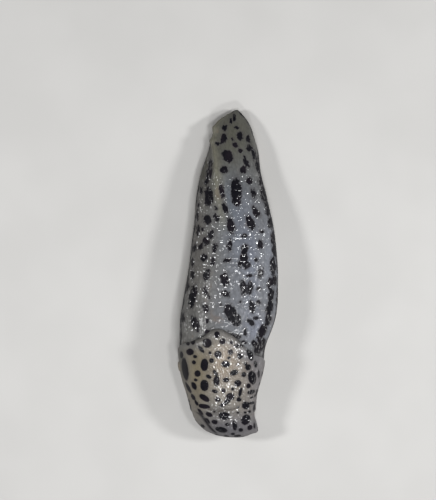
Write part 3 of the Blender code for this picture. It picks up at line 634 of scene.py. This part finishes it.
def strewnSpots(part, allowed, count, seed, wide, long, apart):  # for what the photo doesn't show
    rng = np.random.default_rng(seed)
    made = []
    for index in rng.permutation(np.flatnonzero(allowed)):
        if len(made) >= count:
            break
        place, n = part["base"][index], part["normal"][index]
        if made and min(np.linalg.norm(place - other[0]) for other in made) < apart * rng.uniform(0.75, 1.5):
            continue
        lengthwise = np.array([0.0, 1.0, 0.0]) - n * n[1]
        lengthwise = lengthwise / np.linalg.norm(lengthwise)
        size = rng.uniform(0.3, 1.0)
        halfWide, halfLong = wide * size * rng.uniform(0.8, 1.1), long * size * rng.uniform(0.6, 1.2)
        made.append((place, np.cross(n, lengthwise), lengthwise, n, halfWide, halfLong, 99.0))
    return made


def distanceToSpots(points, spots):  # in mm, negative inside a spot
    best = np.full(len(points), spotFinish["farthest"])
    for place, sideways, lengthwise, n, halfWide, halfLong, deepest in spots:
        longest = max(halfWide, halfLong)
        close = np.flatnonzero(np.abs(points - place).max(1) < 2.2 * longest + 2.5)
        away = points[close] - place
        q = (away @ sideways / halfWide) ** 2 + (away @ lengthwise / halfLong) ** 2
        q = np.sqrt(q + (away @ n / (1.6 * longest)) ** 2 + (away[:, 2] / deepest) ** 2)
        best[close] = np.minimum(best[close], (q - 1) * math.sqrt(halfWide * min(halfWide, halfLong)))
    return best


def spotsOn(back, mantle):  # the spots that the photo shows, then strewn ones on the steep sides
    bareBack = (back["normal"][:, 2] > 0.12) & (back["share"] > 1.0) & (back["along"] > 10)
    seenBack = seenSpots(backSpots, back, bareBack)
    seenMantle = seenSpots(mantleSpots, mantle, (mantle["normal"][:, 2] > 0.12) & mantle["upper"])
    flank = (~back["top"] | (np.abs(back["angle"]) > 1.25)) & (back["below"] < 0.36) & (back["share"] > 1.02)
    flank = flank & (back["along"] > 8) & (back["normal"][:, 2] < 0.3)
    hood = mantle["upper"] & (mantle["normal"][:, 2] < 0.25) & (mantle["share"] < 0.96) & mantle["clearOfPore"]
    hood = hood & (distanceToSpots(mantle["base"], seenMantle) > 0.6)
    return (seenBack + strewnSpots(back, flank, *spotFinish["flank"]),
            seenMantle + strewnSpots(mantle, hood, *spotFinish["hood"]))


# colours, laid as soft patches: across, down, reach across, reach down, colour, strength

skinTones = dict(
    back=(0.100, 0.099, 0.095), mantle=(0.145, 0.135, 0.120),
    backTonesWithSheenAndShade=[
        # painted bluish sheen down the middle of the back, both patches of this line
        (238, 225, 18, 75, (0.100, 0.110, 0.133), 0.85), (232, 315, 24, 40, (0.112, 0.118, 0.134), 0.7),
        # the second patch of this line is painted bluish sheen
        (232, 137, 30, 44, (0.055, 0.054, 0.040), 0.85), (227, 205, 10, 26, (0.076, 0.088, 0.108), 0.6),
        # the second patch of this line is painted shade on the tail's left slope
        (196, 230, 12, 90, (0.088, 0.082, 0.076), 0.7), (205, 160, 11, 34, (0.049, 0.047, 0.039), 0.9),
        # the second patch of this line is painted bluish sheen
        (271, 260, 10, 80, (0.170, 0.182, 0.212), 0.8), (252, 268, 9, 55, (0.132, 0.148, 0.196), 0.45),
        # painted bluish sheen
        (256, 329, 12, 14, (0.170, 0.184, 0.232), 0.6),
    ],
    mantlePatches=[
        (226, 362, 18, 22, (0.207, 0.169, 0.131), 0.9), (198, 370, 11, 34, (0.155, 0.130, 0.082), 0.8),
        (251, 350, 13, 13, (0.136, 0.138, 0.156), 0.8), (190, 344, 14, 6, (0.110, 0.106, 0.100), 0.7),
        (232, 428, 34, 18, (0.094, 0.092, 0.104), 0.9), (257, 380, 11, 50, (0.138, 0.131, 0.144), 0.8),
        (180, 362, 7, 40, (0.085, 0.080, 0.068), 0.8), (236, 390, 20, 22, (0.190, 0.170, 0.148), 0.6),
        (219, 409, 15, 7, (0.088, 0.085, 0.084), 0.5),
    ],
    # where the beads of the skin have pale crowns, partly painted glints, and where the skin is drier: across, down,
    # reaches, strength
    paleCrownsAndGlints=[
        (230, 362, 16, 22, 1.0), (242, 387, 14, 20, 0.9), (232, 416, 19, 11, 0.9), (248, 408, 8, 9, 0.7),
        (197, 298, 10, 34, 0.9), (198, 245, 10, 26, 1.0), (216, 240, 13, 20, 0.8), (241, 247, 15, 24, 1.0),
        (265, 245, 11, 50, 1.0), (263, 308, 10, 36, 1.0), (213, 284, 12, 24, 0.6), (236, 284, 14, 22, 0.8),
        (206, 206, 8, 16, 0.7), (246, 206, 12, 14, 0.4), (250, 336, 13, 12, 0.7), (210, 172, 4, 10, 0.5),
    ],
    drier=[(238, 317, 10, 14, 0.6), (200, 346, 7, 6, 0.8), (227, 194, 17, 24, 0.55), (236, 262, 12, 28, 0.3)],
    # layers over the plain tones: colour and strength; the black layers and the dark pore, crease and groove are
    # painted shade
    tints=dict(
        keel=((0.135, 0.130, 0.098), 0.6), mantleShade=((0, 0, 0), 0.8), collar=(headForm["tone"], 0.85),
        flank=((0.24, 0.22, 0.18), 0.6), fringe=((0.34, 0.30, 0.22), 0.8), sole=((0.46, 0.42, 0.34), 1.0),
        soleMiddle=((0.36, 0.33, 0.275), 0.7), soleLine=((0.24, 0.21, 0.165), 0.5),
        mantleRim=((0.108, 0.107, 0.108), 0.6), rearEdge=((0, 0, 0), 0.35), underMantle=((0.155, 0.140, 0.118), 1.0),
        # the pore's dark tint and, below, the crease's and groove's tints are painted shade in those hollows
        poreRim=((0.200, 0.170, 0.130), 0.7), pore=((0.03, 0.022, 0.018), 0.85),
        crease=((0.045, 0.036, 0.030), 0.65), groove=((0.012, 0.011, 0.013), 1.0),
    ),
)


def patchAt(points, across, down, reachX, reachY):  # 1 in the middle of a soft patch, 0 far from it
    x, along = fromPicture(across, down)
    reachX, reachY = reachX * photoView["scale"], reachY * photoView["scale"]
    return np.exp(-((points[:, 0] - x) / reachX) ** 2 - ((points[:, 1] - along) / reachY) ** 2)


def patchShare(points, patches):  # how far any of the patches covers each point
    left = np.ones(len(points))
    for *patch, strength in patches:
        left = left * (1 - strength * patchAt(points, *patch))
    return 1 - left


def toneOf(points, plain, patches):
    layers = [(colour, strength * patchAt(points, *patch)) for *patch, colour, strength in patches]
    return layered(np.tile(np.array(plain), (len(points), 1)), layers)


def tinted(tone, **shares):  # tints by name, each with its share at every point
    tints = skinTones["tints"]
    return layered(tone, [(tints[name][0], tints[name][1] * share) for name, share in shares.items()])


# one closed skin from the body, the mantle and the head

def unite(meshes, name):
    objects = [addObject(mesh.name, mesh) for mesh in meshes]
    skin = objects[0]
    for other in objects[1:]:
        modifier = skin.modifiers.new("union", "BOOLEAN")
        modifier.operation = "UNION"
        modifier.solver = "MANIFOLD"
        modifier.object = other
    bpy.context.view_layer.update()
    made = bpy.data.meshes.new_from_object(skin.evaluated_get(bpy.context.evaluated_depsgraph_get()))
    for obj in objects:
        bpy.data.objects.remove(obj)
    made.name = name
    return addObject(name, made)


def factsAt(points, parts):  # for each part: which points came from it, and its facts at the nearest of its own
    tree = KDTree(sum(len(part["points"]) for part in parts))
    starts, count = [], 0
    for part in parts:
        starts.append(count)
        for point in part["points"]:
            tree.insert(point, count)
            count += 1
    tree.balance()
    nearest = np.array([tree.find(point)[1] for point in points])
    for part, start in zip(parts, starts):
        mine = (nearest >= start) & (nearest < start + len(part["points"]))
        index = np.where(mine, nearest - start, 0)
        yield mine, {name: values[index] for name, values in part.items()}


def paintSkin(piece, back, mantle, head):
    points = fromWorld(pointsOf(piece.data))
    x, along = points[:, 0], points[:, 1]
    (isBack, onBack), (isMantle, onMantle), (_, onHead) = factsAt(points, (back, mantle, head))
    under = isMantle & ~onMantle["upper"]
    below, collar = onBack["below"], onBack["collar"]

    def byPart(ofBack, ofMantle, ofHead):
        return np.where(isBack, ofBack, np.where(isMantle, ofMantle, ofHead))

    madeBack, madeMantle = spotsOn(back, mantle)
    distance = np.full(len(points), spotFinish["farthest"])
    distance[isBack] = distanceToSpots(points[isBack], madeBack)
    distance = np.maximum(distance, np.where(isBack, (below - 0.30) * 9, -9))
    distance[isMantle] = distanceToSpots(points[isMantle], madeMantle)
    distance = np.where(under | (isBack & (collar > 0.3)), spotFinish["farthest"], distance)

    # the skin's colour between the spots, with painted shade along the mantle's margins and in the hood's pore,
    # crease and groove
    keel = bell(np.degrees(onBack["angle"]) - keelLeanAt(along), 9) * smoothStep(54, 62, along)
    # a painted shadow on the back along the mantle's margin, broken up by noise
    rim = bell(onBack["share"] - 1.0, 0.025) * (along > 12)
    rim = rim * smoothStep(0.15, 0.6, softNoise(x / 2.4, along / 2.4, 61))
    half, middle, _, _, _ = sectionAt(np.clip(along, 1.0, bodyForm["length"] - 1.0))
    across = np.abs(x - middle) / half
    backTone = tinted(
        toneOf(points, skinTones["back"], skinTones["backTonesWithSheenAndShade"]), keel=keel, mantleShade=rim, collar=collar,
        flank=smoothStep(0.1, 0.45, below), fringe=smoothStep(0.5, 0.6, below), sole=smoothStep(0.72, 0.8, below),
        soleMiddle=(below > 0.8) * (1 - smoothStep(0.28, 0.34, across)),
        soleLine=(below > 0.8) * bell(across - 0.32, 0.025))
    share, fromRear = onMantle["share"], turnFromRear(onMantle["turn"])
    mantleTone = tinted(
        toneOf(points, skinTones["mantle"], skinTones["mantlePatches"]),
        mantleRim=smoothStep(0.82, 0.98, share) * (fromRear < 100),
        # painted shade along the mantle's rear margin
        rearEdge=smoothStep(0.965, 0.995, share) * (fromRear < 60), underMantle=under, poreRim=onMantle["poreRim"],
        # painted shade in the pore's pit, the crease and the groove
        pore=onMantle["pit"], crease=onMantle["crease"] ** 2, groove=np.clip(1.35 * onMantle["groove"], 0, 0.95))
    tone = np.where(isBack[:, None], backTone, np.where(isMantle[:, None], mantleTone, onHead["tone"]))

    # how strong the beads of the skin are, how wet it is, and where the beads have pale crowns, partly painted glints
    level = np.where(isMantle, onMantle["normal"][:, 2], onBack["normal"][:, 2])
    rough = smoothStep(22, 30, along) * (1 - smoothStep(66, 80, along)) * (1 - smoothStep(0.3, 0.6, below))
    beaded = smoothStep(-7.0, -3.5, x) * smoothStep(1.5, 5.0, along) * smoothStep(0.3, 0.75, level)
    grain = byPart(0.12 + 0.88 * rough * smoothStep(0.05, 0.4, level), 0.1 + 0.28 * beaded, 0.4)
    ends = (1 - 0.8 * smoothStep(80, 87, along)) * (1 - 0.8 * smoothStep(8.0, 4.0, along))
    wet = byPart((0.2 + 0.8 * smoothStep(0.2, 0.65, level)) * (1 - 0.5 * collar) * ends, 0.2 + 0.8 * beaded, 0.6)
    wet = np.where(under, 0.1, wet * (1 - 0.8 * isBack * smoothStep(0.25, 0.45, below)))
    damp = 1 - patchShare(points, skinTones["drier"])
    crownGlint = damp * smoothStep(0.1, 0.5, level) * (isBack | isMantle) * (1 - under)
    crownGlint = crownGlint * patchShare(points, skinTones["paleCrownsAndGlints"])

    layers = dict(spotDistance=distance, relief=byPart(onBack["relief"], onMantle["relief"], onHead["relief"]),
                  grain=grain, mantleKind=1.0 * isMantle, wet=wet * damp, crownGlint=crownGlint)
    for name, values in layers.items():
        layer = piece.data.attributes.new(name, "FLOAT", "POINT")
        layer.data.foreach_set("value", values.astype(np.float32))
    layer = piece.data.attributes.new("skinTone", "FLOAT_COLOR", "POINT")
    layer.data.foreach_set("color", np.hstack([tone, np.ones((len(tone), 1))]).astype(np.float32).ravel())
    print("painted", len(points), "points")


# materials

def newMaterial(name, roughness, **sockets):
    material = bpy.data.materials.new(name)
    material.use_nodes = True
    shader = material.node_tree.nodes["Principled BSDF"]
    shader.inputs["Roughness"].default_value = roughness
    for socket, value in sockets.items():
        shader.inputs[socket.replace("_", " ")].default_value = value
    return material, material.node_tree, shader


def addNode(tree, kind, inputs=None, **settings):  # inputs by name or number: a link's source or a plain value
    node = tree.nodes.new(kind)
    for key, value in settings.items():
        setattr(node, key, value)
    for key, value in (inputs or {}).items():
        if isinstance(value, bpy.types.NodeSocket):
            tree.links.new(value, node.inputs[key])
        else:
            node.inputs[key].default_value = value
    return node


def attributeOf(tree, name, output="Fac"):
    return addNode(tree, "ShaderNodeAttribute", attribute_name=name).outputs[output]


def sums(tree, operation, first, second=0.0, third=0.0):
    return addNode(tree, "ShaderNodeMath", {0: first, 1: second, 2: third}, operation=operation).outputs[0]


def product(tree, *factors):
    value = factors[0]
    for factor in factors[1:]:
        value = sums(tree, "MULTIPLY", value, factor)
    return value


def ranged(tree, value, fromLow, fromHigh, toLow=0.0, toHigh=1.0):
    inputs = {"Value": value, "From Min": fromLow, "From Max": fromHigh, "To Min": toLow, "To Max": toHigh}
    return addNode(tree, "ShaderNodeMapRange", inputs, interpolation_type="SMOOTHSTEP").outputs["Result"]


def mixed(tree, share, first, second, blend="MIX"):
    node = addNode(tree, "ShaderNodeMix", data_type="RGBA", blend_type=blend)
    for index, value in ((0, share), (6, first), (7, second)):
        if isinstance(value, bpy.types.NodeSocket):
            tree.links.new(value, node.inputs[index])
        else:
            node.inputs[index].default_value = value
    return node.outputs[2]


def noiseAt(tree, coordinates, scale, stretch=(1, 1, 1), detail=2.0, roughness=0.5, distortion=0.0):
    place = addNode(tree, "ShaderNodeMapping", {"Vector": coordinates, "Scale": stretch}).outputs[0]
    inputs = {"Vector": place, "Scale": scale, "Detail": detail, "Roughness": roughness, "Distortion": distortion}
    return addNode(tree, "ShaderNodeTexNoise", inputs).outputs["Fac"]


def bump(tree, height, distance, **inputs):
    inputs = {"Height": height, "Distance": distance, "Strength": 1.0, **inputs}
    return addNode(tree, "ShaderNodeBump", inputs).outputs[0]


skinFinish = dict(
    roughness=0.5, coat=1.0, coatRoughness=0.13, coatIndex=2.1, specular=0.08,
    # the spots' edges and the halo around them
    backRagged=0.85, mantleRagged=0.22, softEdge=0.10, spotGrowth=0.10, haloReach=0.75, backHalo=0.55, mantleHalo=0.3,
    spotColour=(0.003, 0.003, 0.005, 1), spotBrown=(0.008, 0.006, 0.009, 1), haloColour=(0.050, 0.047, 0.048, 1),
    blush=0.45, blushColour=(0.16, 0.10, 0.06, 1),
    # pale bead crowns, partly painted glints: gain, near-white colour and share on spots
    glintCrownGain=(2.4, 2.4, 2.4, 1), glintCrownColour=(0.72, 0.74, 0.76, 1), glintCrownOnSpot=0.12,
    # noises: scale, stretch, detail, roughness, distortion
    noises=dict(ragged=(1100, (1, 0.6, 1), 4, 0.75), mottle=(260, (1, 0.5, 1), 4, 0.65),
                fine=(2200, (1, 0.6, 1), 3, 0.6), blotch=(140, (1, 0.7, 1), 3, 0.6, 0.6),
                wrinkle=(1500, (1, 0.5, 1), 3, 0.6)),
    # heights in metres, and the share of the beads' height that shows under the film
    fineHeight=0.00003, beadHeight=0.00016, underFilm=0.3, beadsPerMetre=1020.0, mantleBeadsPerMetre=1450.0,
    beadStretch=(1, 0.8, 1), dryBead=0.25, dryGap=0.05, evenFilm=0.4,
)


def makeSkinMaterial():
    look = skinFinish
    material, tree, shader = newMaterial("wetSkin", look["roughness"], Coat_Weight=look["coat"],
                                         Coat_Roughness=look["coatRoughness"], Coat_IOR=look["coatIndex"],
                                         Specular_IOR_Level=look["specular"])
    place = addNode(tree, "ShaderNodeTexCoord").outputs["Object"]
    distance, relief, grain, kind, wet, paleCrownsAndGlints = [
        attributeOf(tree, name) for name in ("spotDistance", "relief", "grain", "mantleKind", "wet", "crownGlint")]
    tone = attributeOf(tree, "skinTone", "Color")
    ragged, mottle, fine, blotch, wrinkle = [noiseAt(tree, place, *values) for values in look["noises"].values()]

    # dark spots with ragged edges, and a halo around them
    amount = ranged(tree, kind, 0, 1, look["backRagged"], look["mantleRagged"])
    pushed = sums(tree, "MULTIPLY_ADD", sums(tree, "SUBTRACT", ragged, 0.5), product(tree, amount, 2.0), distance)
    pushed = sums(tree, "MULTIPLY_ADD", sums(tree, "SUBTRACT", 0.55, relief), product(tree, amount, 0.3), pushed)
    spot = ranged(tree, pushed, look["spotGrowth"] - look["softEdge"], look["spotGrowth"] + look["softEdge"], 1, 0)
    halo = product(tree, ranged(tree, pushed, 0.0, look["haloReach"], 1, 0),
                   ranged(tree, kind, 0, 1, look["backHalo"], look["mantleHalo"]))

    # mottled skin, with painted shade between its pebbles
    mottleAndPebbleShade = product(tree, ranged(tree, mottle, 0.25, 0.75, 0.88, 1.12), ranged(tree, fine, 0.25, 0.75, 0.93, 1.07),
                       ranged(tree, relief, 0.0, 0.9, 0.87, 1.07))
    shade = addNode(tree, "ShaderNodeCombineColor", {0: mottleAndPebbleShade, 1: mottleAndPebbleShade, 2: mottleAndPebbleShade}).outputs[0]
    skin = mixed(tree, 1.0, tone, shade, "MULTIPLY")
    skin = mixed(tree, ranged(tree, blotch, 0.60, 0.78, 0, look["blush"]), skin, look["blushColour"])
    skin = mixed(tree, halo, skin, look["haloColour"])
    dark = mixed(tree, ranged(tree, mottle, 0.4, 0.7), look["spotColour"], look["spotBrown"])
    skin = mixed(tree, spot, skin, dark)

    # wet beads: a dome in each cell, with its own width, shine and chance of a pale crown, partly a painted glint
    stretched = addNode(tree, "ShaderNodeMapping", {"Vector": place, "Scale": look["beadStretch"]}).outputs[0]
    dense = ranged(tree, kind, 0, 1, look["beadsPerMetre"], look["mantleBeadsPerMetre"])
    cell = addNode(tree, "ShaderNodeTexVoronoi", {"Vector": stretched, "Scale": dense, "Randomness": 0.95})
    chances = addNode(tree, "ShaderNodeSeparateColor", {0: cell.outputs["Color"]})
    away = cell.outputs["Distance"]
    narrow = sums(tree, "MULTIPLY_ADD", chances.outputs[0], 4.5, 2.8)
    crest = sums(tree, "SUBTRACT", 1.0, product(tree, away, away, narrow))
    bead = product(tree, sums(tree, "MAXIMUM", crest, 0.0), grain)
    shine = ranged(tree, chances.outputs[1], 0.15, 0.85, look["dryBead"], 1.0)
    shine = sums(tree, "MULTIPLY_ADD", kind, 0.3, shine)
    shine = product(tree, shine, ranged(tree, crest, 0.0, 0.35, look["dryGap"], 1.0))
    # where the skin is smooth the film is even, and where it is pearly some beads have pale crowns, partly painted
    # glints
    uneven = sums(tree, "SUBTRACT", shine, look["evenFilm"])
    shine = sums(tree, "MULTIPLY_ADD", uneven, ranged(tree, grain, 0.12, 0.4), look["evenFilm"])
    crownGlint = product(tree, ranged(tree, crest, 0.62, 0.90), ranged(tree, chances.outputs[2], 0.35, 0.75), paleCrownsAndGlints,
                    ranged(tree, spot, 0, 1, 1.0, look["glintCrownOnSpot"]))
    # a pale crown: the skin's tone lightened and mixed with near white, a painted highlight in part
    crown = mixed(tree, 0.5, mixed(tree, 1.0, tone, look["glintCrownGain"], "MULTIPLY"), look["glintCrownColour"])
    under = bump(tree, bead, look["beadHeight"] * look["underFilm"])
    tree.links.new(mixed(tree, crownGlint, skin, crown), shader.inputs["Base Color"])
    tree.links.new(bump(tree, wrinkle, look["fineHeight"], Normal=under), shader.inputs["Normal"])
    tree.links.new(bump(tree, bead, look["beadHeight"]), shader.inputs["Coat Normal"])
    tree.links.new(product(tree, wet, shine, look["coat"]), shader.inputs["Coat Weight"])
    return material


eyeFinish = dict(roughness=0.3, coat=0.25, coatRoughness=0.08, cloudScale=2600, black=(0.006, 0.006, 0.007, 1),
                 brown=(0.030, 0.024, 0.022, 1))


def makeEyeMaterial():
    material, tree, shader = newMaterial("eyeBlack", eyeFinish["roughness"], Coat_Weight=eyeFinish["coat"],
                                         Coat_Roughness=eyeFinish["coatRoughness"])
    place = addNode(tree, "ShaderNodeTexCoord").outputs["Object"]
    cloud = ranged(tree, noiseAt(tree, place, eyeFinish["cloudScale"]), 0.4, 0.7)
    tree.links.new(mixed(tree, cloud, eyeFinish["black"], eyeFinish["brown"]), shader.inputs["Base Color"])
    return material


# build

backMesh, backFacts = makeBackMesh()
mantleMesh, mantleFacts = makeMantleMesh()
headMeshes, eyes, headFacts = makeHeadMeshes()
for mesh, facts in ((backMesh, backFacts), (mantleMesh, mantleFacts)):
    placePoints(mesh, toWorld(facts["points"]))
    bm = bmesh.new()
    bm.from_mesh(mesh)
    bmesh.ops.recalc_face_normals(bm, faces=bm.faces)
    bm.to_mesh(mesh)
    bm.free()
skin = unite([backMesh, mantleMesh, *headMeshes], "slugSkin")
print("skin triangles", sum(len(face.vertices) - 2 for face in skin.data.polygons))
paintSkin(skin, backFacts, mantleFacts, headFacts)
skin.data.materials.clear()
skin.data.materials.append(makeSkinMaterial())
skin.data.shade_smooth()
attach(skin, "root")
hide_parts("mantle", "head", "neck", "trunk_front", "trunk_middle", "trunk_rear", "tail", "foot_front",
            "foot_middle", "foot_rear", "upper_tentacle_left", "upper_tentacle_right", "lower_tentacle_left",
            "lower_tentacle_right")

eyeMaterial = makeEyeMaterial()
for side, place in eyes:
    word = "left" if side > 0 else "right"
    mesh = smoothBall("slugEye", place, headForm["eyeRadius"])
    mesh.materials.append(eyeMaterial)
    mesh.shade_smooth()
    eye = addObject("slugEye_" + word, mesh)
    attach(eye, "root")
    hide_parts("eye_" + word)
print("eyes")

# floor, lights and camera

studio = dict(
    floorSize=1.6, floorColour=(0.44, 0.435, 0.425, 1), floorCloud=(0.42, 0.415, 0.405, 1), floorRoughness=0.85,
    cloudScale=40, worldColour=(0.85, 0.88, 0.92, 1), worldStrength=0.05, sensor=36,
    # name, place, size, watts, whether the wet skin mirrors it
    lamps=[("keyLamp", (0.14, -0.02, 0.44), 0.06, 0.6, True), ("crownLamp", (0.01, -0.09, 0.45), 0.05, 0.45, True),
           ("leftLamp", (-0.30, 0.02, 0.30), 0.07, 0.95, True), ("rightLamp", (0.34, 0.02, 0.28), 0.07, 1.1, True),
           ("frontLamp", (0.03, -0.28, 0.34), 0.06, 0.6, True), ("softLamp", (0.20, 0.05, 0.50), 0.40, 0.30, False)],
)


def makeFloor():
    half = studio["floorSize"] / 2
    mesh = meshOf("floor", lambda bm: bmesh.ops.create_grid(bm, x_segments=1, y_segments=1, size=half))
    material, tree, shader = newMaterial("paleFloor", studio["floorRoughness"])
    place = addNode(tree, "ShaderNodeTexCoord").outputs["Object"]
    cloud = ranged(tree, noiseAt(tree, place, studio["cloudScale"]), 0.3, 0.7)
    tree.links.new(mixed(tree, cloud, studio["floorColour"], studio["floorCloud"]), shader.inputs["Base Color"])
    mesh.materials.append(material)
    addObject("floor", mesh)


def makeLamp(name, place, size, watts, shine):
    lamp = bpy.data.lights.new(name, "AREA")
    lamp.shape = "DISK"
    lamp.size = size
    lamp.energy = watts
    obj = addObject(name, lamp)
    obj.location = place
    obj.rotation_euler = (-Vector(place)).to_track_quat("-Z", "Y").to_euler()
    obj.visible_glossy = shine


def makeCamera():
    x, along = fromPicture(*photoView["aim"])
    aim = toWorld(np.array([x, along, 0.0]))
    camera = bpy.data.cameras.new("camera")
    camera.sensor_width = studio["sensor"]
    camera.sensor_fit = "AUTO"
    high = photoView["high"] * photoView["scale"]
    camera.lens = studio["sensor"] / high * (photoView["cameraHeight"] - photoView["subjectHeight"])
    obj = addObject("camera", camera)
    obj.location = (aim[0], aim[1], photoView["cameraHeight"] * mm)
    obj.rotation_euler = (0, 0, 0)
    bpy.context.scene.camera = obj


makeFloor()
for lampValues in studio["lamps"]:
    makeLamp(*lampValues)
world = bpy.data.worlds.new("studioAir")
world.use_nodes = True
world.node_tree.nodes["Background"].inputs[0].default_value = studio["worldColour"]
world.node_tree.nodes["Background"].inputs[1].default_value = studio["worldStrength"]
bpy.context.scene.world = world
bpy.context.scene.view_settings.view_transform = "Standard"
makeCamera()
print("floor, lights and camera")
